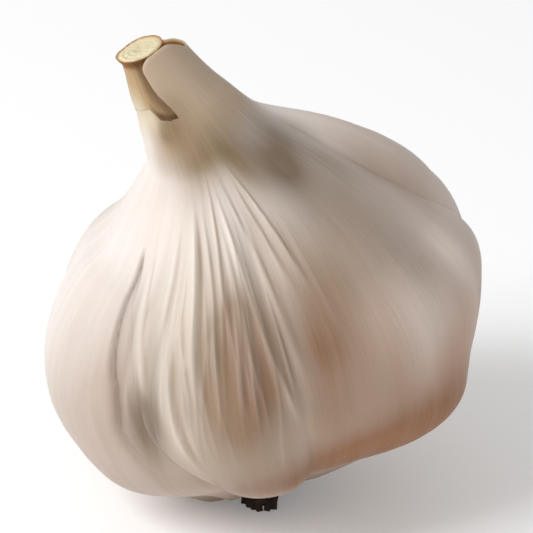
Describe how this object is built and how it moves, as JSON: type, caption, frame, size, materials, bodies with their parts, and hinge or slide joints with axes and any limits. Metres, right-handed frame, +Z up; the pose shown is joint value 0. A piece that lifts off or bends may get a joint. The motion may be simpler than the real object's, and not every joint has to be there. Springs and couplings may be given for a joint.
{
  "type": "garlic bulb",
  "caption": "Whole garlic bulb: plump cloves under a pleated papery skin, a leaning cut neck and a tuft of trimmed roots.",
  "frame": {"origin": "middle of the flat spot under the root tuft, on the surface that the bulb rests on", "axes": "+Z up, the neck leans towards -X, and the bulb's front, with the torn neck sheath, faces -Y"},
  "size_m": [0.0589, 0.0635, 0.0659],
  "materials": {
    "papery_skin": "dry satin papery skin, off-white, fine lengthwise fibres",
    "dry_stalk": "matt dry straw-yellow stalk, pale cut face with a brown rim",
    "root_wood": "rough dark brown corky root plate and dry root stubs"
  },
  "bodies": {
    "root": {"bulb_body": "papery_skin", "neck_stalk": "dry_stalk", "root_plate": "root_wood"}
  },
  "joints": []
}
